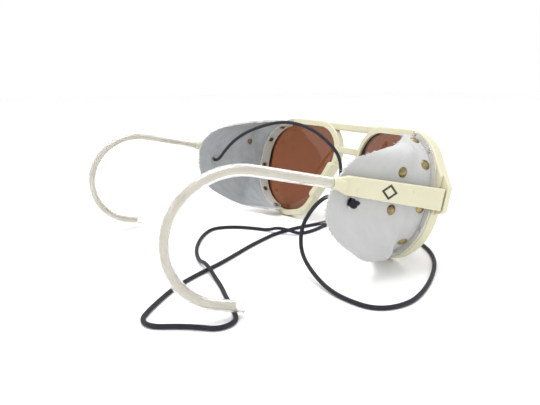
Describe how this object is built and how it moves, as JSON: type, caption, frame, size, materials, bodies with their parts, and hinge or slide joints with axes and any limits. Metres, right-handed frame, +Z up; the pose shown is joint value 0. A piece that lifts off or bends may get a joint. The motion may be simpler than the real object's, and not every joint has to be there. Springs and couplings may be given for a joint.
{
  "type": "glacier glasses",
  "caption": "Glacier glasses with tinted lenses in a moulded double-bridge front, riveted leather side shields, curled temples in clear sleeves and a neck cord.",
  "frame": {"origin": "middle of the footprint, at the height of the surface the glasses rest on", "axes": "+X across the face towards the wearer's left, +Y towards the curled ends of the open temples, +Z up"},
  "size_m": [0.157, 0.1434, 0.058],
  "materials": {
    "frame_ivory": "smooth moulded, satin gloss",
    "core_beige": "plain",
    "sleeve_clear": "clear soft tube",
    "hinge_steel": "plain",
    "lens_brown": "polished, tinted",
    "strip_clear": "translucent",
    "leather_grey": "pale grain outside, grey suede inside",
    "rivet_brass": "dull, dark at the rims",
    "cord_dark": "woven sheath"
  },
  "bodies": {
    "front": {"cord_left": "cord_dark", "cord_right": "cord_dark", "front_frame": "frame_ivory", "front_hinge_left": "hinge_steel", "front_hinge_right": "hinge_steel", "hinge_screw_left": "hinge_steel", "hinge_screw_right": "hinge_steel", "lens_left": "lens_brown", "lens_right": "lens_brown", "margin_rivets_left": "rivet_brass", "margin_rivets_right": "rivet_brass", "shield_margin_left": "leather_grey", "shield_margin_right": "leather_grey", "shield_strip_left": "strip_clear", "shield_strip_right": "strip_clear", "strip_pins_left": "rivet_brass", "strip_pins_right": "rivet_brass"},
    "temple_left": {"temple_left": "frame_ivory", "temple_core_left": "core_beige", "temple_sleeve_left": "sleeve_clear", "temple_hinge_left": "hinge_steel"},
    "shield_left": {"shield_flap_left": "leather_grey", "flap_rivets_left": "rivet_brass", "cord_eyelet_left": "rivet_brass", "cord_knot_left": "cord_dark"},
    "temple_right": {"temple_right": "frame_ivory", "temple_core_right": "core_beige", "temple_sleeve_right": "sleeve_clear", "temple_hinge_right": "hinge_steel"},
    "shield_right": {"shield_flap_right": "leather_grey", "flap_rivets_right": "rivet_brass", "cord_eyelet_right": "rivet_brass", "cord_knot_right": "cord_dark"}
  },
  "joints": [
    {"name": "temple_left_fold", "type": "hinge", "parent": "front", "child": "temple_left", "pos_m": [0.0676, -0.04367, 0.03239], "axis": [0, -0.2181, 0.9759], "range_deg": [-6.3, 30], "deforming": ["cord_left"]},
    {"name": "shield_left_fold", "type": "hinge", "parent": "front", "child": "shield_left", "pos_m": [0.06358, -0.04006, 0.0332], "axis": [0, -0.2181, 0.9759], "range_deg": [-7.5, 35], "deforming": ["cord_right"]},
    {"name": "temple_right_fold", "type": "hinge", "parent": "front", "child": "temple_right", "pos_m": [-0.0676, -0.04367, 0.03239], "axis": [0, 0.2181, -0.9759], "range_deg": [-6.3, 30], "deforming": ["cord_right"]},
    {"name": "shield_right_fold", "type": "hinge", "parent": "front", "child": "shield_right", "pos_m": [-0.06358, -0.04006, 0.0332], "axis": [0, 0.2181, -0.9759], "range_deg": [-7.5, 35], "deforming": ["cord_left"]}
  ],
  "couplings": [
    {"joint": "shield_left_fold", "follows": "temple_left_fold", "ratio": 1.13},
    {"joint": "shield_right_fold", "follows": "temple_right_fold", "ratio": 1.13}
  ]
}
